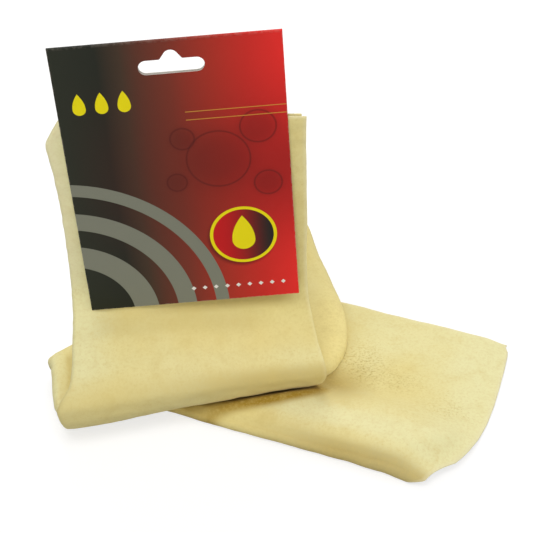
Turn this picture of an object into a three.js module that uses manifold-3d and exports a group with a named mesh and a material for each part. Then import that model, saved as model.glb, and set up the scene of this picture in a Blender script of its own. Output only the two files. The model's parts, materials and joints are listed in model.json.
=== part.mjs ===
// Chamois leather sold on a fold-over header card.
// One hide is folded once along its length, so that it is a strip of two plies. The strip hangs down
// behind the front leaf of the card, turns back in a soft roll at the foot, lies flat, folds under along a
// diagonal and ends in a tail on the floor. Two staples hold its top end to the card's back leaf. The front
// leaf lifts on its crease.
// Millimetres, +Z up, the printed face of the card looks along -Y.
import * as THREE from 'three';
import { mergeVertices } from 'three/addons/utils/BufferGeometryUtils.js';
import Module from 'manifold-3d';

const wasm = await Module();
wasm.setup();
const radians = THREE.MathUtils.degToRad;
const lerp = THREE.MathUtils.lerp;
const smooth = THREE.MathUtils.smoothstep;

// Header card
const cardWidth = 112;
const cardHeight = 155; // from the hinge line to the foot
const boardThickness = 0.5;
const cardFootHeight = 60; // lower edge of the front leaf above the floor
const cardTilt = radians(3.6); // turn of the card in its own plane
const leafLean = radians(2.4); // front leaf off the vertical, foot forward
const creaseRadius = 0.5;
const creaseWrap = radians(155); // how far the crease bends round from the back leaf
const creaseGap = 0.45; // front leaf below its hinge line
const leavesTogether = 22; // length below the crease over which the leaves lie close together

// Peg slot, an oblong with a round bump in the middle of its upper side
const slotLength = 32;
const slotHeight = 7.5;
const slotDrop = 13.5; // from the crease to the slot's middle line
const slotOffset = 2; // to the right of the card's middle
const slotBumpRadius = 4;
const slotBumpFillet = 1.5;

// Staples
const stapleWire = 0.5;
const stapleCrown = 12;
const stapleTip = 4;
const stapleSpacing = 64;
const stapleDrop = 12; // below the top edge of the leather

// Hide
const hideThickness = 1;
const plyGap = 1.4; // between the two plies where they lie flat
const fitGap = 0.3; // between pieces that touch

// Upright panel of the strip, behind the card
const leatherDrop = 42; // top edge of the leather below the crease
const panelTopSlope = 4; // left end of the top edge above its right end
const panelWidth = 124.5;
const panelLeft = 64.5; // left edge from the middle of the card's foot
const panelTaper = 2; // right edge, drawn in towards the top
const shoulderCut = 8; // top left corner, cut back to the right
const shoulderHeight = 21;
const shoulderFlare = 5.2; // edge below that corner, standing out to the left
const shoulderEaseShare = 0.6; // where that edge comes in again, up from the bend
const bendHeight = 53; // soft bend below the card, where the panel starts to come forward
const bendLength = 20;
const apronPlump = 1.2; // plies held apart by the folded edge below the bend

// Soft roll at the foot of the panel, given at its left and right ends
const rollReachLeft = 34.5; // middle of the roll in front of the panel
const rollReachRight = 11;
const rollRadiusLeft = 20;
const rollRadiusRight = 13;
const rollLength = 142;
const rollLiftShare = 0.33; // left end off the floor, as a share of the right end's height on the tail
const rollLeft = 72; // left end from the middle of the card's foot

// Diagonal fold, where the strip turns under itself
const foldCornerX = -80;
const foldCornerY = 9.5;
const foldAngle = radians(39.5);
const foldRadiusLeft = 6.8; // plump where the folded edge turns over
const foldRadiusRight = 4.2;
const flatBelly = 3.6; // folded edge between roll and fold, standing out to the left
const flatPlump = 6; // upper ply held up by the folded edge beside the roll

// Tail on the floor
const tailAngle = radians(-25.3);
const tailWidth = 121.5;
const tailLength = 214; // along the folded edge
const tailBackLength = 173; // along the raw edge
const tailEndBulge = 17;
const tailCrown = 4; // upper ply lifted by the fold that closes the front edge
const crownSpread = 95; // how far that lift reaches from the front edge
const crownPeak = 24;
const crownAtEdge = 0.7; // share of the lift at the folded edge itself
const crownStart = 0.3; // share of the tail where the lift starts, clear of the stretch above it
const crownFull = 0.7;
const tailEndSkew = 0.7; // below 1 the end bulges most near the folded edge

// Flank flap: the inner ply reaches past the outer one
const flapReach = 59;
const flapDroop = 6;
const flapRise = 0.45; // powers of the flap's outline, before and after the diagonal fold
const flapFall = 1.3;
const flapTailShare = 0.42; // share of the tail over which the flap dies out
const innerPlyStep = 2.5; // inner ply inside the outer one elsewhere

// Rows of the mesh along the strip, stretch by stretch, and across it
const rows = { shoulder: 1, panel: 3, bend: 4, apron: 1, roll: 7, flat: 5, fold: 6, tail: 6 };
const columns = { outer: 5, edge: 5, inner: 6 };
const arcSteps = 6;
const rowCrowding = 1.5; // above 1, rows lie closer at the start of a stretch

// Places that follow from these sizes
const plyOffset = (plyGap + hideThickness) / 2;
const stackHalf = plyOffset + hideThickness / 2;
const creaseHeight = cardFootHeight + cardHeight * Math.cos(leafLean) * Math.cos(cardTilt);
const creaseX = -cardHeight * Math.sin(cardTilt);
const creaseY = cardHeight * Math.sin(leafLean);
const panelTop = creaseHeight - leatherDrop;
const stapleDepth = leatherDrop + stapleDrop; // staples below the crease
const leafBackAtStaple = boardThickness / 2 / Math.cos(leafLean) - stapleDepth * Math.tan(leafLean);
const leatherFront = leafBackAtStaple + stapleWire + 2 * fitGap; // from the hinge line, to the back
const leatherBack = leatherFront + 2 * stackHalf;
const backLeafFront = leatherBack + fitGap;
const panelY = creaseY + leatherFront + stackHalf;
const slotCutDepth = 4 * boardThickness;
const tailHeight = stackHalf;
const rollLiftRight = tailCrown + 2 * stackHalf + fitGap;
const rollLiftLeft = rollLiftRight * rollLiftShare;

function toManifold(geometry) {
  const bare = geometry.clone();
  bare.deleteAttribute('normal');
  bare.deleteAttribute('uv');
  const merged = mergeVertices(bare);
  const vertProperties = new Float32Array(merged.attributes.position.array);
  const triVerts = new Uint32Array(merged.index.array);
  return new wasm.Manifold(new wasm.Mesh({ numProp: 3, vertProperties, triVerts }));
}

function fromManifold(solid) {
  const mesh = solid.getMesh();
  const geometry = new THREE.BufferGeometry();
  geometry.setAttribute('position', new THREE.BufferAttribute(mesh.vertProperties, mesh.numProp));
  geometry.setIndex(new THREE.BufferAttribute(mesh.triVerts, 1));
  geometry.computeVertexNormals();
  return geometry;
}

function cut(geometry, cutters) {
  const solid = cutters.reduce((rest, cutter) => rest.subtract(toManifold(cutter)), toManifold(geometry));
  return fromManifold(solid);
}

function closeStart(share) {
  return share ** rowCrowding;
}

// A route is the line that one edge of the strip follows, as places with their directions of travel.
function straightRoute(from, to, steps) {
  const heading = to.clone().sub(from).normalize();
  return Array.from({ length: steps }, (_, k) => ({ place: from.clone().lerp(to, k / steps), heading }));
}

function curveRoute(curve, steps) {
  return Array.from({ length: steps }, (_, k) => ({
    place: curve.getPoint(k / steps),
    heading: curve.getTangent(k / steps),
  }));
}

// Part of a circle in the plane of two unit vectors, from one angle down or up to another
function arcRoute(middle, across, upward, radius, start, end, steps) {
  const turn = Math.sign(end - start);
  return Array.from({ length: steps }, (_, k) => {
    const angle = lerp(start, end, k / steps);
    const spoke = across.clone().multiplyScalar(Math.cos(angle)).addScaledVector(upward, Math.sin(angle));
    const side = across.clone().multiplyScalar(-Math.sin(angle)).addScaledVector(upward, Math.cos(angle));
    return { place: middle.clone().addScaledVector(spoke, radius), heading: side.multiplyScalar(turn) };
  });
}

// Level at both ends while the height eases over and the line bellies out to the left, with closer steps
// near the start
function easedRoute(from, to, belly, steps) {
  return Array.from({ length: steps }, (_, k) => {
    const share = closeStart(k / steps);
    const place = from.clone().lerp(to, share);
    place.z = lerp(from.z, to.z, smooth(share, 0, 1));
    place.x -= belly * Math.sin(Math.PI * share);
    const heading = to.clone().sub(from);
    heading.z *= 6 * share * (1 - share);
    heading.x -= belly * Math.PI * Math.cos(Math.PI * share);
    return { place, heading: heading.normalize() };
  });
}

const up = new THREE.Vector3(0, 0, 1);
const foldLine = new THREE.Vector3(Math.cos(foldAngle), Math.sin(foldAngle), 0);
const foldOutward = new THREE.Vector3(-Math.sin(foldAngle), Math.cos(foldAngle), 0);
const tailLine = new THREE.Vector3(Math.cos(tailAngle), Math.sin(tailAngle), 0);
const rollLine = new THREE.Vector3(rollLength, rollReachLeft - rollReachRight, 0).normalize();
const rollBackward = new THREE.Vector3(-rollLine.y, rollLine.x, 0);

// Route of one edge of the strip, from the top of the panel to the end of the tail
function edgeRoute(edge) {
  const bend = new THREE.Vector3(edge.bendX, panelY, bendHeight);
  const middle = new THREE.Vector3(edge.rollX, panelY - edge.reach, edge.lift + stackHalf + edge.radius);
  const toBend = bend.clone().sub(middle);
  const flatRun = toBend.dot(rollBackward);
  const climb = Math.hypot(flatRun, toBend.z);
  const apronAngle = Math.atan2(toBend.z, flatRun) + Math.asin(edge.radius / climb);
  const leave = apronAngle + Math.PI / 2;
  const rollTop = middle.clone().addScaledVector(rollBackward, edge.radius * Math.cos(leave));
  rollTop.addScaledVector(up, edge.radius * Math.sin(leave));
  const rollFoot = middle.clone().addScaledVector(up, -edge.radius);
  const above = bend.clone().addScaledVector(up, bendLength / 2);
  const shoulder = new THREE.Vector3(edge.shoulderX, panelY, edge.topZ - shoulderHeight);
  const shoulderEase = new THREE.Vector3(edge.bendX, panelY, lerp(above.z, shoulder.z, shoulderEaseShare));
  const below = bend.clone().addScaledVector(rollTop.clone().sub(bend).normalize(), bendLength / 2);
  const foldTop = edge.foldStart.clone().addScaledVector(up, tailHeight + 2 * edge.foldRadius);
  const foldMiddle = edge.foldStart.clone().addScaledVector(up, tailHeight + edge.foldRadius);
  const tailStart = edge.foldStart.clone().addScaledVector(up, tailHeight);
  const tailEnd = tailStart.clone().addScaledVector(tailLine, edge.tail);
  return [
    ...straightRoute(new THREE.Vector3(edge.topX, panelY, edge.topZ), shoulder, rows.shoulder),
    ...curveRoute(new THREE.QuadraticBezierCurve3(shoulder, shoulderEase, above), rows.panel),
    ...curveRoute(new THREE.QuadraticBezierCurve3(above, bend, below), rows.bend),
    ...straightRoute(below, rollTop, rows.apron),
    ...arcRoute(middle, rollBackward, up, edge.radius, leave, 1.5 * Math.PI, rows.roll),
    ...easedRoute(rollFoot, foldTop, edge.belly, rows.flat),
    ...arcRoute(foldMiddle, foldOutward, up, edge.foldRadius, Math.PI / 2, -Math.PI / 2, rows.fold),
    ...straightRoute(tailStart, tailEnd, rows.tail),
    { place: tailEnd, heading: tailLine },
  ];
}

const foldCorner = new THREE.Vector3(foldCornerX, foldCornerY, 0);
const foldReach = tailWidth / Math.sin(foldAngle - tailAngle);
const leftRoute = edgeRoute({
  topX: shoulderCut - shoulderFlare - panelLeft,
  shoulderX: -shoulderFlare - panelLeft,
  topZ: panelTop + panelTopSlope / 2,
  bendX: -panelLeft,
  rollX: -rollLeft,
  reach: rollReachLeft,
  radius: rollRadiusLeft,
  lift: rollLiftLeft,
  belly: flatBelly,
  foldRadius: foldRadiusLeft,
  foldStart: foldCorner,
  tail: tailLength,
});
const rightRoute = edgeRoute({
  topX: panelWidth - panelLeft - panelTaper,
  shoulderX: panelWidth - panelLeft - panelTaper,
  topZ: panelTop - panelTopSlope / 2,
  bendX: panelWidth - panelLeft,
  rollX: rollLength - rollLeft,
  reach: rollReachRight,
  radius: rollRadiusRight,
  lift: rollLiftRight,
  belly: 0,
  foldRadius: foldRadiusRight,
  foldStart: foldCorner.clone().addScaledVector(foldLine, foldReach),
  tail: tailBackLength,
});

// Share of each stretch that a row has covered, and the stretch itself
const rowPlaces = Object.entries(rows).flatMap(([stretch, steps]) =>
  Array.from({ length: steps }, (_, k) => {
    const share = k / steps;
    return { stretch, share: stretch === 'flat' ? closeStart(share) : share };
  }));
rowPlaces.push({ stretch: 'tail', share: 1 });

// How far the fold along the edge holds the outer and the inner ply off the middle surface
function plumpness({ stretch, share }) {
  if (stretch === 'bend') return { outer: apronPlump * share, inner: apronPlump * share };
  if (stretch === 'apron') return { outer: apronPlump, inner: apronPlump };
  if (stretch === 'roll') {
    return { outer: apronPlump * (1 - share), inner: lerp(apronPlump, flatPlump, share) };
  }
  if (stretch === 'flat') return { outer: 0, inner: flatPlump * Math.cos((Math.PI / 2) * share) };
  if (stretch === 'tail') return { outer: tailCrown * smooth(share, crownStart, crownFull), inner: 0 };
  return { outer: 0, inner: 0 };
}

// Lift across the strip: soft at the folded edge, highest a little way in, level at the raw edge
function crownAt(across) {
  if (across < crownPeak) return lerp(crownAtEdge, 1, Math.sin((Math.PI / 2) * (across / crownPeak)));
  const fall = Math.min(1, (across - crownPeak) / (crownSpread - crownPeak));
  return Math.cos((Math.PI / 2) * fall) ** 2;
}

// How far the inner ply reaches past the raw edge of the outer one
function innerReach({ stretch, share }) {
  if (stretch === 'roll') return -innerPlyStep * (1 - share);
  if (stretch === 'flat') return flapReach * share ** flapRise;
  if (stretch === 'fold') return flapReach;
  if (stretch === 'tail' && share < flapTailShare) {
    return (flapReach + innerPlyStep) * (1 - share / flapTailShare) ** flapFall - innerPlyStep;
  }
  return -innerPlyStep;
}

// The flap sinks from the flat stretch to the tail that it lies on.
function flapSink({ stretch, share }, past) {
  if (stretch !== 'flat' || past <= 0) return 0;
  return flapDroop * Math.sqrt(Math.sin(Math.PI * share)) * smooth(past, 0, 1);
}

// One row across the strip: both faces of the outer ply, the fold along the edge, and the inner ply
function stripRow(k) {
  const row = rowPlaces[k];
  const left = leftRoute[k];
  const right = rightRoute[k];
  const start = left.place;
  const width = right.place.distanceTo(start);
  const across = right.place.clone().sub(start).normalize();
  const lift = plumpness(row);
  const place = (distance) => {
    const point = start.clone().addScaledVector(across, distance);
    const share = THREE.MathUtils.clamp(distance / width, 0, 1);
    if (row.stretch === 'tail') {
      const bulge = tailEndBulge * row.share ** 2;
      point.addScaledVector(tailLine, bulge * Math.sin(Math.PI * share ** tailEndSkew));
    }
    const heading = left.heading.clone().lerp(right.heading, share);
    return { point, normal: heading.cross(across).normalize() };
  };
  const outerAt = (distance) => plyOffset + lift.outer * crownAt(distance);
  const innerWidth = width + innerReach(row);
  const innerAt = (distance) => {
    const past = (distance - width) / Math.max(innerWidth - width, hideThickness);
    return plyOffset + lift.inner * crownAt(distance) - flapSink(row, past);
  };
  const ring = [];
  const put = (distance, offset, side) => {
    const { point, normal } = place(distance);
    const half = (side * hideThickness) / 2;
    ring.push([offset + half, offset - half].map((off) => point.clone().addScaledVector(normal, off)));
  };
  for (let step = 0; step <= columns.outer; step += 1) {
    const distance = width * (1 - step / columns.outer);
    put(distance, outerAt(distance), 1);
  }
  const { point, normal } = place(0);
  const edgeRadius = (outerAt(0) + innerAt(0)) / 2;
  const edgeMiddle = (outerAt(0) - innerAt(0)) / 2;
  for (let step = 1; step < columns.edge; step += 1) {
    const angle = Math.PI / 2 - (Math.PI * step) / columns.edge;
    const spoke = normal.clone().multiplyScalar(Math.sin(angle)).addScaledVector(across, -Math.cos(angle));
    const middle = point.clone().addScaledVector(normal, edgeMiddle);
    const half = hideThickness / 2;
    ring.push([edgeRadius + half, edgeRadius - half].map((r) => middle.clone().addScaledVector(spoke, r)));
  }
  for (let step = 0; step <= columns.inner; step += 1) {
    const distance = (innerWidth * step) / columns.inner;
    put(distance, -innerAt(distance), -1);
  }
  return ring;
}

function leatherGeometry() {
  const rings = rowPlaces.map((_, k) => stripRow(k));
  const last = rings.length - 1;
  const columnCount = rings[0].length;
  const positions = rings.flat(2).flatMap((point) => point.toArray());
  const face = (k, j) => (k * columnCount + j) * 2;
  const back = (k, j) => face(k, j) + 1;
  const index = [];
  const quad = (a, b, c, d) => index.push(a, b, c, a, c, d);
  for (let k = 0; k < last; k += 1) {
    for (let j = 0; j < columnCount - 1; j += 1) {
      quad(face(k, j), face(k, j + 1), face(k + 1, j + 1), face(k + 1, j));
      quad(back(k, j), back(k + 1, j), back(k + 1, j + 1), back(k, j + 1));
    }
    const end = columnCount - 1;
    quad(face(k, 0), face(k + 1, 0), back(k + 1, 0), back(k, 0));
    quad(back(k, end), back(k + 1, end), face(k + 1, end), face(k, end));
  }
  for (let j = 0; j < columnCount - 1; j += 1) {
    quad(face(0, j), back(0, j), back(0, j + 1), face(0, j + 1));
    quad(face(last, j), face(last, j + 1), back(last, j + 1), back(last, j));
  }
  const geometry = new THREE.BufferGeometry();
  geometry.setAttribute('position', new THREE.Float32BufferAttribute(positions, 3));
  geometry.setIndex(index);
  return geometry;
}

// The card's frame has its origin at the middle of the hinge line, with Z up along the leaves.
const cardFrame = new THREE.Group();
cardFrame.position.set(creaseX, creaseY, creaseHeight);
cardFrame.rotation.y = -cardTilt;
cardFrame.updateMatrixWorld();

function slotPath() {
  const half = slotHeight / 2;
  const straight = slotLength / 2 - half;
  const neck = slotBumpRadius + slotBumpFillet;
  const shoulder = half + slotBumpFillet;
  const path = new THREE.Path();
  path.moveTo(-straight, -half);
  path.lineTo(straight, -half);
  path.absarc(straight, 0, half, -Math.PI / 2, Math.PI / 2, false);
  path.lineTo(neck, half);
  path.absarc(neck, shoulder, slotBumpFillet, -Math.PI / 2, -Math.PI, true);
  path.absarc(0, shoulder, slotBumpRadius, 0, Math.PI, false);
  path.absarc(-neck, shoulder, slotBumpFillet, 0, -Math.PI / 2, true);
  path.lineTo(-straight, half);
  path.absarc(-straight, 0, half, Math.PI / 2, 1.5 * Math.PI, false);
  return path;
}

// Prism through the card for the peg slot, standing along Y
function slotCutter(depth) {
  const outline = new THREE.Shape(slotPath().getPoints(arcSteps));
  const prism = new THREE.ExtrudeGeometry(outline, { depth, bevelEnabled: false });
  prism.rotateX(Math.PI / 2);
  prism.translate(slotOffset, depth / 2, -slotDrop);
  return prism;
}

function frontLeafGeometry() {
  const height = cardHeight - creaseGap;
  const board = new THREE.BoxGeometry(cardWidth, boardThickness, height);
  board.translate(0, 0, -creaseGap - height / 2);
  return cut(board, [slotCutter(slotCutDepth)]);
}

// The back leaf bends over at the top towards the front leaf, lies close behind it past the slot, then steps
// back over the top edge of the leather and hangs straight down.
function backLeafGeometry(holes) {
  const near = 2 * creaseRadius - boardThickness / 2;
  const far = backLeafFront;
  const stepEnd = panelTopSlope / 2 - leatherDrop + fitGap + (cardWidth / 2) * Math.sin(cardTilt);
  const stepMiddle = (stepEnd - leavesTogether) / 2;
  const board = boardThickness;
  const profile = new THREE.Shape();
  profile.moveTo(far + board, -cardHeight);
  profile.lineTo(far + board, stepEnd);
  profile.bezierCurveTo(far + board, stepMiddle, near + board, stepMiddle, near + board, -leavesTogether);
  profile.lineTo(near + board, 0);
  profile.absarc(creaseRadius, 0, creaseRadius + board / 2, 0, creaseWrap, false);
  profile.absarc(creaseRadius, 0, creaseRadius - board / 2, creaseWrap, 0, true);
  profile.lineTo(near, -leavesTogether);
  profile.bezierCurveTo(near, stepMiddle, far, stepMiddle, far, stepEnd);
  profile.lineTo(far, -cardHeight);
  const run = { depth: cardWidth, bevelEnabled: false, curveSegments: arcSteps };
  const sheet = new THREE.ExtrudeGeometry(profile, run);
  sheet.rotateX(Math.PI / 2);
  sheet.rotateZ(Math.PI / 2);
  sheet.translate(-cardWidth / 2, 0, 0);
  const slot = slotCutter(slotCutDepth);
  slot.translate(0, 2 * creaseRadius, 0);
  return cut(sheet, [slot, ...holes]);
}

const stapleSides = [-1, 1];
const stapleFront = leatherFront - fitGap - stapleWire;
const stapleBack = backLeafFront + boardThickness + fitGap + stapleWire;

// One closed staple seen from above: crown at the back, legs through the leather, tips turned in at the front
function stapleGeometry() {
  const half = stapleCrown / 2;
  const tip = half - stapleTip;
  const outline = new THREE.Shape();
  outline.moveTo(-tip, stapleFront);
  outline.lineTo(stapleWire - half, stapleFront);
  outline.quadraticCurveTo(-half, stapleFront, -half, stapleFront + stapleWire);
  outline.lineTo(-half, stapleBack - stapleWire);
  outline.quadraticCurveTo(-half, stapleBack, stapleWire - half, stapleBack);
  outline.lineTo(half - stapleWire, stapleBack);
  outline.quadraticCurveTo(half, stapleBack, half, stapleBack - stapleWire);
  outline.lineTo(half, stapleFront + stapleWire);
  outline.quadraticCurveTo(half, stapleFront, half - stapleWire, stapleFront);
  outline.lineTo(tip, stapleFront);
  outline.lineTo(tip, stapleFront + stapleWire);
  outline.lineTo(half - stapleWire, stapleFront + stapleWire);
  outline.lineTo(half - stapleWire, stapleBack - stapleWire);
  outline.lineTo(stapleWire - half, stapleBack - stapleWire);
  outline.lineTo(stapleWire - half, stapleFront + stapleWire);
  outline.lineTo(-tip, stapleFront + stapleWire);
  const run = { depth: stapleWire, bevelEnabled: false, curveSegments: arcSteps };
  const wire = new THREE.ExtrudeGeometry(outline, run);
  wire.translate(0, 0, -stapleDepth - stapleWire / 2);
  return wire;
}

// Holes for the four legs, in the card's frame
function legHoles() {
  const bore = stapleWire + 2 * fitGap;
  const depth = stapleBack - stapleFront;
  return stapleSides.flatMap((staple) => stapleSides.map((leg) => {
    const hole = new THREE.BoxGeometry(bore, depth, bore);
    const legX = (stapleCrown - stapleWire) / 2;
    hole.translate((staple * stapleSpacing) / 2 + leg * legX, (stapleFront + stapleBack) / 2, -stapleDepth);
    return hole;
  }));
}

function namedMesh(name, geometry, color, roughness, metalness) {
  const mesh = new THREE.Mesh(geometry, new THREE.MeshStandardMaterial({ color, roughness, metalness }));
  mesh.name = name;
  return mesh;
}

const holesInLeather = legHoles().map((hole) => hole.applyMatrix4(cardFrame.matrixWorld));
const leather = namedMesh('chamois_leather', cut(leatherGeometry(), holesInLeather), 0xe5d796, 0.95, 0);
const backLeaf = namedMesh('card_back_leaf', backLeafGeometry(legHoles()), 0x6a3a30, 0.5, 0);
const frontLeaf = namedMesh('card_front_leaf', frontLeafGeometry(), 0x7d2a22, 0.4, 0);
frontLeaf.rotation.x = -leafLean;
const staples = ['staple_left', 'staple_right'].map((name, k) => {
  const staple = namedMesh(name, stapleGeometry(), 0xb9bcc0, 0.35, 1);
  staple.position.x = (stapleSides[k] * stapleSpacing) / 2;
  return staple;
});
cardFrame.add(backLeaf, frontLeaf, ...staples);

// The origin is on the floor, under the middle of the whole.
const part = new THREE.Group();
part.add(leather, cardFrame);
const bounds = new THREE.Box3().setFromObject(part, true);
part.position.set(-(bounds.min.x + bounds.max.x) / 2, -(bounds.min.y + bounds.max.y) / 2, -bounds.min.z);

export default part;
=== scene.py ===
# Chamois leather on a fold-over header card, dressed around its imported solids.
import json
import math
from functools import partial

import bpy
import numpy as np
from mathutils import Matrix, Vector
from mathutils.kdtree import KDTree


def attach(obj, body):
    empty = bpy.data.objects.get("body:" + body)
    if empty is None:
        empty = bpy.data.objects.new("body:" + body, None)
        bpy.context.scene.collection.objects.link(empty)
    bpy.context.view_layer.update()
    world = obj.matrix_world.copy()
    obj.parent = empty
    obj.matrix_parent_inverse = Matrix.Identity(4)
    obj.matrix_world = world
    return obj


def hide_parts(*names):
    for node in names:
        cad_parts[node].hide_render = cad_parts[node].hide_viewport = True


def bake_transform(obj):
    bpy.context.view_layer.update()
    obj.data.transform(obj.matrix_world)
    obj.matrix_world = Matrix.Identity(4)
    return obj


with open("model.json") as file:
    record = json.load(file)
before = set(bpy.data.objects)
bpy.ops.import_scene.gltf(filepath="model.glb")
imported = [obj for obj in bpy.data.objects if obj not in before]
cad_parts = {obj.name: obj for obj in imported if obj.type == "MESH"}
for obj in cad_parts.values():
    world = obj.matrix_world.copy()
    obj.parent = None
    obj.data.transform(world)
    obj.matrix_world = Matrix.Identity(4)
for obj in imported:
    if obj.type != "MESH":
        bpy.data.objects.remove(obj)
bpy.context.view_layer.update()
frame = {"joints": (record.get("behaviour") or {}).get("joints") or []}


# Hide: one oil-tanned chamois skin, about 1 mm thick, with a raw cut edge all round. It is folded once
# along its length into two plies, and that strip hangs, rolls forward at the foot, lies back, folds under
# along a diagonal and ends in a tail. Sizes are millimetres, from the floor below the card's foot.
MM = 0.001
card_height = 155.0
card_foot = 60.0
card_tilt = math.radians(3.6)
leaf_lean = math.radians(2.4)
crease_height = card_foot + card_height * math.cos(leaf_lean) * math.cos(card_tilt)
crease = Vector((-card_height * math.sin(card_tilt), card_height * math.sin(leaf_lean), crease_height))
hinge = Vector(frame["joints"][0]["pos_m"])
foot_place = hinge - crease * MM

hide_thickness = 1.0
ply_gap = 1.4
panel_y = 7.28
leather_drop = 42.0
panel_top_slope = 4.0
panel_width = 124.5
panel_left = 64.5
panel_taper = 2.0
shoulder_cut = 10.0
shoulder_height = 16.5
shoulder_flare = 5.7
shoulder_ease = 0.7
bend_height = 53.0
bend_length = 38.0
roll_length = 142.0
roll_left = 72.0
roll_reach = {"left": 32.5, "right": 13.4}
roll_radius = {"left": 20.0, "right": 15.0}
roll_lift = {"left": 2.5, "right": 7.0}
fold_corner = np.array([-80.0, 9.5, 0.0])
fold_angle = math.radians(39.5)
fold_radius = {"left": 3.6, "right": 4.2}
flat_belly = {"left": 0.6, "right": 0.0}
tail_angle = math.radians(-25.3)
tail_width = 121.5
tail_length = {"left": 214.0, "right": 173.0}
flap_reach = 61.5
flap_tail_share = 0.42
inner_ply_step = 2.5
inner_end_step = 11.0
staple_spacing = 64.0
staple_drop = 54.0

hide_rows = {"shoulder": 12, "panel": 52, "bend": 20, "apron": 16,
             "roll": 34, "flat": 44, "fold": 18, "tail": 98}
outer_columns = 64
edge_columns = 9
inner_columns = 72
half_thickness = hide_thickness / 2
ply_offset = (ply_gap + hide_thickness) / 2
stack_half = ply_offset + half_thickness
UP = np.array([0.0, 0.0, 1.0])


def flat_direction(angle):
    return np.array([math.cos(angle), math.sin(angle), 0.0])


fold_line = flat_direction(fold_angle)
fold_outward = flat_direction(fold_angle + math.pi / 2)
tail_line = flat_direction(tail_angle)
tail_backward = flat_direction(tail_angle + math.pi / 2)
roll_turn = math.atan2(roll_reach["left"] - roll_reach["right"], roll_length)
roll_along = flat_direction(roll_turn)
roll_backward = flat_direction(roll_turn + math.pi / 2)
fold_reach = tail_width / math.sin(fold_angle - tail_angle)
tail_back = fold_corner + fold_line * fold_reach


def ease(value, low=0.0, high=1.0):
    """Soft step from 0 at the low value to 1 at the high one; low may be the larger of the two."""
    share = np.clip((value - low) / (high - low), 0.0, 1.0)
    return share * share * (3 - 2 * share)


def smoothed(rows, times):
    """Rows evened out along the strip, with the first and the last one kept."""
    rows = rows.copy()
    for _ in range(times):
        rows[1:-1] = (rows[:-2] + 2 * rows[1:-1] + rows[2:]) / 4
    return rows


def shares(stretch):
    """Share of a stretch that each of its rows has covered; the flat one's rows are closer near the roll."""
    even = np.arange(hide_rows[stretch]) / hide_rows[stretch]
    return even ** 1.5 if stretch == "flat" else even


def straight_run(start, end, stretch):
    return start + (end - start) * shares(stretch)[:, None]


def bent_run(start, pull, end, stretch):
    share = shares(stretch)[:, None]
    return (1 - share) ** 2 * start + 2 * share * (1 - share) * pull + share ** 2 * end


def round_run(middle, outward, radius, start, end, stretch):
    angle = (start + (end - start) * shares(stretch))[:, None]
    return middle + radius * (np.cos(angle) * outward + np.sin(angle) * UP)


def laid_run(start, end, belly, stretch):
    share = shares(stretch)[:, None]
    run = start + (end - start) * share
    run[:, 2:] = start[2] + (end[2] - start[2]) * ease(share)
    run[:, :1] -= belly * np.sin(math.pi * share)
    return run


def edge_route(side, top_x, shoulder_x, top_z, bend_x, roll_x, fold_start):
    """Line that one long edge of the strip follows, from the top of the panel to the end of the tail."""
    bend = np.array([bend_x, panel_y, bend_height])
    radius = roll_radius[side]
    middle = np.array([roll_x, panel_y - roll_reach[side], roll_lift[side] + stack_half + radius])
    to_bend = bend - middle
    back = to_bend @ roll_backward
    climb = math.hypot(back, to_bend[2])
    leave = math.atan2(to_bend[2], back) + math.asin(radius / climb) + math.pi / 2
    roll_top = middle + radius * (math.cos(leave) * roll_backward + math.sin(leave) * UP)
    roll_foot = middle - radius * UP
    above = bend + UP * bend_length / 2
    below = bend + (roll_top - bend) / np.linalg.norm(roll_top - bend) * bend_length / 2
    top = np.array([top_x, panel_y, top_z])
    shoulder = np.array([shoulder_x, panel_y, top_z - shoulder_height])
    pull = np.array([bend_x, panel_y, above[2] + (shoulder[2] - above[2]) * shoulder_ease])
    tail_start = fold_start + UP * stack_half
    fold_top = tail_start + UP * 2 * fold_radius[side]
    fold_middle = tail_start + UP * fold_radius[side]
    tail_end = tail_start + tail_line * tail_length[side]
    route = np.concatenate([
        straight_run(top, shoulder, "shoulder"),
        bent_run(shoulder, pull, above, "panel"),
        bent_run(above, bend, below, "bend"),
        straight_run(below, roll_top, "apron"),
        round_run(middle, roll_backward, radius, leave, 1.5 * math.pi, "roll"),
        laid_run(roll_foot, fold_top, flat_belly[side], "flat"),
        round_run(fold_middle, fold_outward, fold_radius[side], math.pi / 2, -math.pi / 2, "fold"),
        straight_run(tail_start, tail_end, "tail"),
        tail_end[None],
    ])
    return smoothed(route, 6)


panel_top = crease_height - leather_drop
right_x = panel_width - panel_left
left_route = edge_route("left", shoulder_cut - shoulder_flare - panel_left, -shoulder_flare - panel_left,
                        panel_top + panel_top_slope / 2, -panel_left, -roll_left, fold_corner)
right_route = edge_route("right", right_x - panel_taper, right_x - panel_taper,
                         panel_top - panel_top_slope / 2, right_x, roll_length - roll_left, tail_back)

# Each row's place along the strip is the number of its stretch plus the share of it that is covered:
# 0 shoulder, 1 panel, 2 bend, 3 apron, 4 roll, 5 flat, 6 fold, 7 tail, and 8 at the tail's end
BEND, ROLL, FLAT, FOLD, TAIL = 2, 4, 5, 6, 7
row_place = [number + shares(name) for number, name in enumerate(hide_rows)]
row_place = np.concatenate(row_place + [[len(hide_rows)]])
flat_share = np.clip(row_place - FLAT, 0, 1)
tail_share = np.clip(row_place - TAIL, 0, 1)
on_tail = row_place > TAIL


def fitted(knots, places=row_place):
    """A value for every row, or other place, from the values at a few of them."""
    return np.interp(places, *zip(*knots))


def along(*knots):
    return smoothed(fitted(knots), 4)[:, None]


def band(values, start, full, fade=None, end=None):
    """Mask that comes in from start to full, and goes out from fade to end if these are given."""
    mask = ease(values, start, full)
    return mask if fade is None else mask * ease(values, end, fade)


def rows(*places):
    """Such a mask along the strip, one value for each row."""
    return band(row_place, *places)[:, None]


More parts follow.
